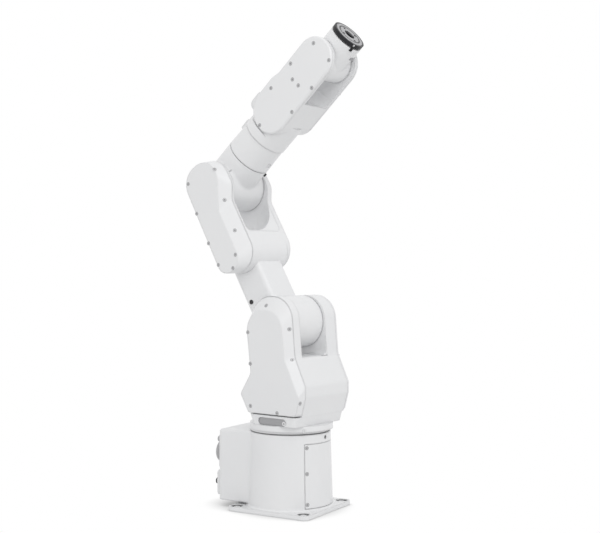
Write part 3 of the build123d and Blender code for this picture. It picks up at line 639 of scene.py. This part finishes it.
disc = {"Vertices": SCREW_SIDES, "Radius": rim}
disc = add(screw_tree, "GeometryNodeMeshCircle", disc, fill_type="NGON").outputs["Mesh"]
tag = {"Geometry": lift(screw_tree, disc, GAP_LEVEL), "Name": "gap", "Value": True}
tagged = add(screw_tree, "GeometryNodeStoreNamedAttribute", tag, data_type="BOOLEAN", domain="FACE")
screw = add(screw_tree, "GeometryNodeJoinGeometry")
screw_tree.links.new(lift(screw_tree, cut, half), screw.inputs[0])
screw_tree.links.new(tagged.outputs[0], screw.inputs[0])
placed = copy_to_seats(screw_tree, screw.outputs[0], size["Geometry"], size["Steel"], SCREW_SEED)
in_gap = add(screw_tree, "GeometryNodeInputNamedAttribute", {"Name": "gap"}, data_type="BOOLEAN")
shaded = {"Geometry": placed, "Selection": in_gap.outputs["Attribute"], "Material": size["Gap"]}
shaded = add(screw_tree, "GeometryNodeSetMaterial", shaded).outputs[0]
screw_tree.links.new(shaded, result["Geometry"])
print("screw tree:", len(screw_tree.nodes), "nodes")

# %% [markdown]
# A tree only acts through a modifier on some mesh. Here that mesh is the bare list of seats, one point for
# each, with the seat's direction kept as an attribute. The evaluated result is then copied out as a plain
# mesh, one for each body that moves, so that the screws of a link travel with it.

# %% Screws on every body


def keep(name, mesh, body):
    """Links a finished mesh as a piece that rides on a body."""
    mesh.name = name
    piece = bpy.data.objects.new(name, mesh)
    scene.collection.objects.link(piece)
    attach(piece, body)
    print(name, "on", body, len(mesh.polygons), "faces")
    return piece


def grow(name, tree, seats, values, body):
    """Runs a tree on a list of seats and keeps the result as one plain piece on a body."""
    points = bpy.data.meshes.new(name + "_points")
    points.from_pydata([spot for spot, _ in seats], [], [])
    facing = points.attributes.new("facing", "FLOAT_VECTOR", "POINT")
    facing.data.foreach_set("vector", [part for _, direction in seats for part in direction])
    carrier = bpy.data.objects.new(name + "_points", points)
    scene.collection.objects.link(carrier)
    modifier = carrier.modifiers.new("tree", "NODES")
    modifier.node_group = tree
    for socket in tree.interface.items_tree:
        if socket.in_out == "INPUT" and socket.name in values:
            modifier[socket.identifier] = values[socket.name]
    evaluated = carrier.evaluated_get(bpy.context.evaluated_depsgraph_get())
    mesh = bpy.data.meshes.new_from_object(evaluated)
    carrier.modifiers.remove(modifier)
    bpy.data.objects.remove(carrier)
    return keep(name, mesh, body)


screw_finish = {"Steel": screw_steel, "Gap": gap_shade}
grow("base_screws", screw_tree, base_seats, screw_finish, "base")
grow("shoulder_screws", screw_tree, shoulder_seats, screw_finish, "shoulder")
grow("lower_arm_screws", screw_tree, lower_arm_seats, screw_finish, "lower_arm")
grow("forearm_screws", screw_tree, forearm_seats, screw_finish, "forearm")

# %% [markdown]
# The access plate low on the shoulder is held by one brighter screw at its front end. It is the same
# tree with another finish and a larger head.

# %% Access plate screw
PLATE_SCREW = Vector((31, -71.4, 157.6)) * MM
plate_seat = seat("access_plate", PLATE_SCREW, -near)
bright = {"Steel": zinc_steel, "Gap": gap_shade, "Head Radius": 3.9 * MM}
grow("access_plate_screw", screw_tree, [plate_seat], bright, "shoulder")

# %% [markdown]
# ## Base hardware
# The four bolt holes are spot-faced after painting, so each has a ring of bare metal round it. The ring's
# metal is made nearly black, which paints in the shade that falls in the recess round each hole. A ring is a
# circle with a flat rectangle swept along it, which Curve to Mesh does in one step.

# %% Spot faces
RING_STEPS = 40
BOLT_HALF = 67  # half the bolts' spacing, in mm
SPOT_LEVEL = 6.5  # height of the spot faces, in mm
ring_sizes = {"Ring Radius": 8.0 * MM, "Ring Width": 4.6 * MM, "Ring Height": 0.3 * MM}
ring_tree, size, result = open_tree("flat_rings", ring_sizes, ("Finish",))
path = {"Resolution": RING_STEPS, "Radius": size["Ring Radius"]}
path = add(ring_tree, "GeometryNodeCurvePrimitiveCircle", path)
section = {"Width": size["Ring Width"], "Height": size["Ring Height"]}
section = add(ring_tree, "GeometryNodeCurvePrimitiveQuadrilateral", section)
sweep = {"Curve": path.outputs["Curve"], "Profile Curve": section.outputs["Curve"]}
ring = add(ring_tree, "GeometryNodeCurveToMesh", sweep).outputs["Mesh"]
ring_tree.links.new(copy_to_seats(ring_tree, ring, size["Geometry"], size["Finish"]), result["Geometry"])

spot_seats = []
for x in (-BOLT_HALF, BOLT_HALF):
    for y in (-BOLT_HALF, BOLT_HALF):
        spot_seats.append((Vector((x, y, SPOT_LEVEL)) * MM, up))
grow("base_spot_faces", ring_tree, spot_seats, {"Finish": spot_face_metal_and_shade}, "base")

# %% [markdown]
# The connectors at the back need two things that repeat round a circle: contact pins inside the socket,
# and the fine ribs of the coupling ring outside it. Both are short posts standing along the connector's
# axis, so one tree makes them from a count, a circle and a post's size.

# %% Post ring tree
POST_SIDES = 10
POST_TIP = 0.55
post_sizes = {
    "Post Count": 12,
    "Circle Radius": 9.0 * MM,
    "Post Radius": 1.0 * MM,
    "Post Length": 4.0 * MM,
    "Post Start": 0.0,
}
post_tree, size, result = open_tree("posts_on_circle", post_sizes, ("Finish",))
cylinder = {
    "Vertices": POST_SIDES,
    "Side Segments": 4,
    "Radius": size["Post Radius"],
    "Depth": size["Post Length"],
}
post = add(post_tree, "GeometryNodeMeshCylinder", cylinder).outputs["Mesh"]
post = chamfer(post_tree, post, size["Post Length"], POST_TIP)
half = maths(post_tree, "MULTIPLY", size["Post Length"], 0.5)
post = lift(post_tree, post, maths(post_tree, "ADD", half, size["Post Start"]))
circle = {"Vertices": size["Post Count"], "Radius": size["Circle Radius"]}
circle = add(post_tree, "GeometryNodeMeshCircle", circle).outputs["Mesh"]
posts = add(post_tree, "GeometryNodeInstanceOnPoints", {"Points": circle, "Instance": post}).outputs[0]
crown = add(post_tree, "GeometryNodeRealizeInstances", {"Geometry": posts}).outputs[0]
post_tree.links.new(copy_to_seats(post_tree, crown, size["Geometry"], size["Finish"]), result["Geometry"])
print("post tree:", len(post_tree.nodes), "nodes")

# %% [markdown]
# A ray from behind finds the floor of each socket and the end of the user connector's cap. The pins start
# on the insert that lies on that floor, and the ribs run along the outside of the shell.

# %% Pins and coupling ribs
CONNECTOR_Y = 24
CONNECTOR_Z = 93
USER_CAP = Vector((0, -41, 117)) * MM
INSERT_T = 1.8
PIN_LENGTH = 3.8
RIB_LENGTH = 5.5
RIB_START = 0.5
CAP_RIB_LENGTH = 3.4
CAP_RIB_START = -4.0
power_floor = seat("power_connector", Vector((0, -CONNECTOR_Y, CONNECTOR_Z)) * MM, -rearward)
signal_floor = seat("signal_connector", Vector((0, CONNECTOR_Y, CONNECTOR_Z)) * MM, -rearward)
user_end = seat("user_connector", USER_CAP, -rearward)


def posts_on(name, place, count, circle, radius, length, start, finish):
    """One ring of posts on the base, its sizes in mm."""
    values = {
        "Post Count": count,
        "Circle Radius": circle * MM,
        "Post Radius": radius * MM,
        "Post Length": length * MM,
        "Post Start": start * MM,
        "Finish": finish,
    }
    return grow(name, post_tree, [place], values, "base")


posts_on("power_pins", power_floor, 6, 9.5, 1.5, PIN_LENGTH, INSERT_T, brass)
posts_on("power_pins_inner", power_floor, 3, 4.0, 1.0, PIN_LENGTH, INSERT_T, brass)
posts_on("signal_pins", signal_floor, 14, 8.0, 0.6, PIN_LENGTH, INSERT_T, brass)
posts_on("signal_pins_inner", signal_floor, 8, 4.4, 0.6, PIN_LENGTH, INSERT_T, brass)
posts_on("power_coupling_ribs", power_floor, 60, 19.0, 0.6, RIB_LENGTH, RIB_START, cast_shell)
posts_on("signal_coupling_ribs", signal_floor, 46, 14.0, 0.6, RIB_LENGTH, RIB_START, cast_shell)
posts_on("user_cap_ribs", user_end, 20, 5.0, 0.4, CAP_RIB_LENGTH, CAP_RIB_START, cast_shell)

# %% [markdown]
# The four air fittings each screw into the cover by a hexagon. A six-sided cylinder with its outer edge
# drawn in is the shape a spanner sees. The collar that lets go of the hose is a flat ring at the
# fitting's end, from the tree of the spot faces.

# %% Hexagons and collars of the air fittings
NUT_CHAMFER = 0.9
AIR_Y = (-33, -11, 11, 33)
AIR_Z = 40
AIR_BACK = -123.5
COLLAR_OUT = 7.6  # from the hexagon's seat to the collar
nut_sizes = {"Nut Radius": 7.2 * MM, "Nut Height": 3.6 * MM}
nut_tree, size, result = open_tree("hexagon_nuts", nut_sizes, ("Finish",))
cylinder = {"Vertices": 6, "Side Segments": 4, "Radius": size["Nut Radius"], "Depth": size["Nut Height"]}
nut = add(nut_tree, "GeometryNodeMeshCylinder", cylinder).outputs["Mesh"]
nut = chamfer(nut_tree, nut, size["Nut Height"], NUT_CHAMFER)
nut = lift(nut_tree, nut, maths(nut_tree, "MULTIPLY", size["Nut Height"], 0.5))
nut_tree.links.new(copy_to_seats(nut_tree, nut, size["Geometry"], size["Finish"]), result["Geometry"])

air_seats = [(Vector((AIR_BACK, y, AIR_Z)) * MM, rearward) for y in AIR_Y]
grow("air_fitting_hexagons", nut_tree, air_seats, {"Finish": zinc_steel}, "base")
collars = {"Ring Radius": 5.0 * MM, "Ring Width": 1.2 * MM, "Ring Height": 1.6 * MM, "Finish": black_plastic}
collar_seats = [(spot + rearward * COLLAR_OUT * MM, facing) for spot, facing in air_seats]
grow("air_fitting_collars", ring_tree, collar_seats, collars, "base")

# %% [markdown]
# ## Turned pieces
# A plug, a connector's insert and a painted dot are all round, so each is a profile spun about its seat's
# direction, as on a lathe. The profile starts and ends on the axis, which closes the shape, and merging
# the doubles closes the seam where the spin comes round. A spin can leave a shape inside out, so its faces
# are turned outward while it still stands on its own axis, before it moves to its seat.

# %% Lathe and connector inserts
LATHE_STEPS = 36
SEAM = 0.001 * MM


def keep_shell(name, shell, finish, body, move=None):
    """Turns a shell's faces outward, moves it if it isn't in its place yet, and keeps it on a body."""
    bmesh.ops.recalc_face_normals(shell, faces=shell.faces)
    if move is not None:
        shell.transform(move)
    mesh = bpy.data.meshes.new(name)
    shell.to_mesh(mesh)
    shell.free()
    mesh.materials.append(finish)
    return keep(name, mesh, body)


def lathe(name, profile, place, finish, body):
    """A turned piece: pairs of radius and height in mm, spun about a seat's direction."""
    spot, facing = place
    shell = bmesh.new()
    rim = [shell.verts.new((radius * MM, 0, height * MM)) for radius, height in profile]
    edges = [shell.edges.new(pair) for pair in zip(rim, rim[1:])]
    bmesh.ops.spin(shell, geom=rim + edges, axis=(0, 0, 1), steps=LATHE_STEPS, angle=math.tau)
    bmesh.ops.remove_doubles(shell, verts=shell.verts, dist=SEAM)
    move = Matrix.Translation(spot) @ facing.to_track_quat("Z", "Y").to_matrix().to_4x4()
    return keep_shell(name, shell, finish, body, move)


power_face = ((0, 0), (15.6, 0), (15.6, 2.6), (14.6, 2.6), (14.2, INSERT_T), (0, INSERT_T))
signal_face = ((0, 0), (10.6, 0), (10.6, 2.6), (9.8, 2.6), (9.4, INSERT_T), (0, INSERT_T))
lathe("power_insert", power_face, power_floor, black_plastic, "base")
lathe("signal_insert", signal_face, signal_floor, black_plastic, "base")

# %% [markdown]
# The round port high on the base's front is closed by a black plug with a dished face. A white dot on the
# flange's rim stands opposite a tab on the nose when axis 6 is at zero.

# %% Port plug and flange dot
PORT_Z = 129.5
RIM_NEAR, RIM_BELOW = 11.5, 28.2  # from the flange's axis to the dot
RIM_AHEAD = 361.5  # from the centre of axis 4, as are the distances of the marks below
port = seat("base_casting", up * PORT_Z * MM, rearward)
plug = ((0, 0), (3.4, 0), (3.4, 4.4), (2.9, 5.0), (1.5, 5.1), (1.1, 4.5), (0, 4.4))
lathe("base_port_plug", plug, port, black_plastic, "base")

flange_rim = (near * RIM_NEAR - above * RIM_BELOW).normalized()
dot_seat = seat("flange_ring", centre_of("axis_4") + ahead * RIM_AHEAD * MM, -flange_rim)
dot = ((0, -0.4), (1.8, -0.4), (1.8, 0.2), (1.4, 0.5), (0, 0.6))
lathe("flange_zero_dot", dot, dot_seat, white_paint, "tool_flange")

# %% [markdown]
# ## Zero marks
# Where two links meet, a small raised tab with a notch shows the fitter where the axis stands at zero. A
# tab is a short bar whose section has a notch in its top, so its outline is drawn once, set along the
# surface, and joined end to end.

# %% Notched tab
# Across and out from the surface, as shares of a tab's width and height
TAB_OUTLINE = ((-0.5, -0.4), (-0.36, 1), (-0.12, 1), (0, 0.4), (0.12, 1), (0.36, 1), (0.5, -0.4))
TAB_TOP = 0.8  # of the length of a tab's foot


def join_ends(shell, first, second):
    """Faces between two loops of as many points."""
    for this in range(len(first)):
        shell.faces.new((first[this], first[this - 1], second[this - 1], second[this]))


def zero_mark(name, place, along, length, width, height, finish, body):
    """A notched tab on a seat, running along a direction, its sizes in mm."""
    spot, facing = place
    along = (along - facing * along.dot(facing)).normalized()
    across = facing.cross(along)
    shell = bmesh.new()
    ends = []
    for side in (-0.5, 0.5):
        end = []
        for x, z in TAB_OUTLINE:
            reach = side * length * (TAB_TOP if z > 0 else 1.0)
            offset = along * reach + across * x * width + facing * z * height
            end.append(shell.verts.new(spot + offset * MM))
        ends.append(end)
        shell.faces.new(end)
    join_ends(shell, *ends)
    return keep_shell(name, shell, finish, body)


print("tab of", len(TAB_OUTLINE), "corners")

# %% [markdown]
# Where both marks of a pair are drawn, one is painted white and the other is bare or blued metal, so that
# they can be told apart. Each is aimed at its casting as a screw is.

# %% Zero marks of axes 1, 3 and 4
foot_side = Vector((57.4, -49.5, 0)).normalized()
foot_seat = seat("shoulder_yoke", up * 144 * MM, -foot_side)
zero_mark("axis_1_turning_mark", foot_seat, up, 7, 7, 1.6, white_paint, "shoulder")

tube_seat = seat("forearm_tube", centre_of("axis_4") + (ahead * 90 - near * 4) * MM, above)
zero_mark("axis_4_turning_mark", tube_seat, ahead, 8, 6, 2.2, white_paint, "forearm")
elbow_seat = seat("elbow_housing", centre_of("axis_4") + (ahead * 64 - near * 19) * MM, above)
zero_mark("axis_4_fixed_mark", elbow_seat, ahead, 6, 5, 3.0, blued_steel, "elbow")

drum_side = (near * 40.6 - above * 14.5).normalized()
drum_seat = seat("elbow_housing", centre_of("axis_4") + ahead * 45 * MM, -drum_side)
zero_mark("axis_3_turning_mark", drum_seat, ahead, 6, 3, 1.2, white_paint, "elbow")

# %% Zero marks of axes 5 and 6
EAR_REACH = 0.01  # a short ray, which starts inside the fork's slot
tilt_seat = seat("wrist_housing", centre_of("axis_4") + (ahead * 337 - near * 5) * MM, above)
zero_mark("axis_5_turning_mark", tilt_seat, ahead, 5, 10, 2.0, brushed_plate, "wrist")
ear_aim = centre_of("axis_4") + (ahead * 327 - above * 18.7 - near * 30) * MM
ear_seat = seat("wrist_fork", ear_aim, -near, EAR_REACH)
zero_mark("axis_5_fixed_mark", ear_seat, above, 5, 5, 0.8, white_paint, "forearm")
nose_seat = seat("wrist_housing", centre_of("axis_4") + ahead * 353 * MM, -flange_rim)
zero_mark("axis_6_fixed_mark", nose_seat, ahead, 6, 5, 2.4, blued_steel, "wrist")

# %% [markdown]
# ## Slot blends
# The floor of a fork's slot sweeps up into its far arm in one cast blend, which is what makes the fork
# look poured and not sawn. A fillet on the CAD solid would be the usual way, but it failed in these
# corners, so the blend is a piece of its own. It is a quarter circle swept from the slot's front to its
# rear, with its own radius at each end. Rays along the casting, just under the floor and just behind the
# wall, find where each line of the sweep has to stop, so that its ends lie flush with the casting. The
# sweep is sunk half a millimetre, which hides the thin edges where it runs out.

# %% Slot blend
BLEND_STEPS = 20
BLEND_CREASE = 30  # degrees, past which an edge stays sharp
SKIN = 1.2 * MM
SINK = 0.5 * MM


def slot_blend(name, node, middle, along, rise, radii, body, back=None):
    """A blend between a slot's floor and its far wall, with a radius at its front and one at its rear.

    It runs to the casting's rear, or stops a distance behind the middle if one is given."""
    floor_spot, _ = seat(node, middle, -rise, 0)
    wall_spot, _ = seat(node, middle, -near, 0)
    corner = floor_spot + near * near.dot(wall_spot - floor_spot)

    def casting_end(beside, direction):
        """How far along the casting ends, in front or behind."""
        if direction < 0 and back is not None:
            return -back
        spot, _ = seat(node, beside, -direction * along)
        return along.dot(spot - corner)

    def end_section(direction, radius):
        """The spots along the curve at one end, and the spots behind the wall at the same heights."""
        curve, behind = [], []
        for step in range(BLEND_STEPS + 1):
            share = step / BLEND_STEPS
            angle = share * math.pi / 2
            across = near * (radius * (1 - math.sin(angle)) - SINK)
            climb = rise * (radius * (1 - math.cos(angle)) - SINK)
            floor_end = casting_end(corner + across - rise * SKIN, direction)
            wall_end = casting_end(corner + climb - near * SKIN, direction)
            end = floor_end * (1 - share) + wall_end * share
            curve.append(corner + across + climb + along * end)
            behind.append(corner + climb - near * SKIN + along * (wall_end - direction * SINK))
        return curve, behind

    shell = bmesh.new()
    loops = []
    for direction, radius in zip((1, -1), radii):
        rows = end_section(direction, radius)
        curve, behind = ([shell.verts.new(spot) for spot in row] for row in rows)
        for low in range(BLEND_STEPS):
            shell.faces.new((curve[low], curve[low + 1], behind[low + 1], behind[low]))
        loops.append(curve + behind[::-1])
    join_ends(shell, *loops)
    for face in shell.faces:
        face.smooth = True
    piece = keep_shell(name, shell, white_paint, body)
    piece.data.set_sharp_from_angle(angle=math.radians(BLEND_CREASE))
    return piece


print("blend in", BLEND_STEPS, "steps")

# %% [markdown]
# The elbow's blend is the largest, and widens to the front. The shoulder's fades out under the hub, where
# the slot's floor starts to slope away, and the wrist's narrows from below to above.

# %% Blends of the three forks
ELBOW_BLEND = (76 * MM, 32 * MM)
SHOULDER_BLEND = (18 * MM, 1 * MM)
SHOULDER_BLEND_BACK = 14 * MM
WRIST_BLEND = (34 * MM, 14 * MM)
in_elbow = centre_of("axis_3") - link_up * 95 * MM
slot_blend(
    "elbow_slot_blend", "lower_arm_casting", in_elbow, link_front, link_up, ELBOW_BLEND, "lower_arm"
)
in_shoulder = centre_of("axis_2") - up * 52 * MM + forward * 20 * MM
slot_blend(
    "shoulder_slot_blend",
    "shoulder_yoke",
    in_shoulder,
    forward,
    up,
    SHOULDER_BLEND,
    "shoulder",
    SHOULDER_BLEND_BACK,
)
in_wrist = centre_of("axis_5") - ahead * 55 * MM
slot_blend("wrist_slot_blend", "wrist_fork", in_wrist, -above, ahead, WRIST_BLEND, "forearm")
